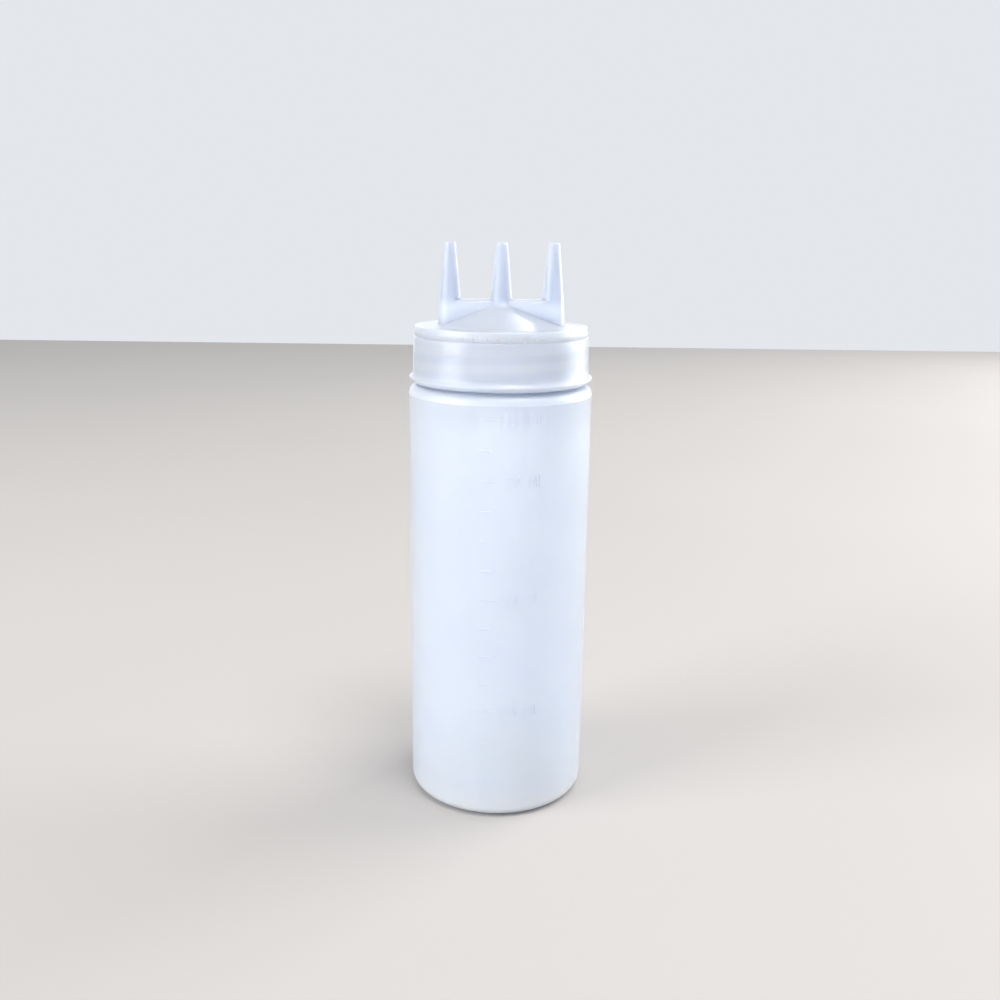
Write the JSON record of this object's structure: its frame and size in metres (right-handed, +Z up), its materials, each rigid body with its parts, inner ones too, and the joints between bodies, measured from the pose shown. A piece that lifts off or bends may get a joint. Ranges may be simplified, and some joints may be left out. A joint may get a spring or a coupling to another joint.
{
  "type": "multi-nozzle squeeze sauce bottle",
  "caption": "Upright cylindrical squeeze bottle with a screw-on cap that carries tapered nozzles in a row on a hollow bar, for dispensing sauces in parallel lines.",
  "frame": {"origin": "centre of the base, on the plane the bottle stands on", "axes": "+Z up along the bottle's axis, towards the nozzles; X along the row of nozzles; -Y is the graduated front"},
  "size_m": [0.06, 0.06, 0.1873],
  "materials": {
    "bottle_plastic": "natural blow-moulded low-density polyethylene, milky and translucent, satin",
    "cap_plastic": "natural injection-moulded low-density polyethylene, milky and translucent, satin",
    "gasket": "soft translucent silicone, matt"
  },
  "bodies": {
    "bottle": {"bottle": "bottle_plastic"},
    "seal": {"sealing_ring": "gasket"},
    "cap": {"nozzle_cap": "cap_plastic"}
  },
  "joints": [
    {"name": "cap_lift", "type": "slide", "parent": "bottle", "child": "seal", "axis": [0, 0, 1], "range_m": [0, 0.0188]},
    {"name": "cap_unscrew", "type": "hinge", "parent": "seal", "child": "cap", "pos_m": [0, 0, 0.1585], "axis": [0, 0, 1], "range_deg": [0, 1350]}
  ],
  "couplings": [
    {"joint": "cap_lift", "follows": "cap_unscrew", "m_per_rad": 0.00079577}
  ]
}
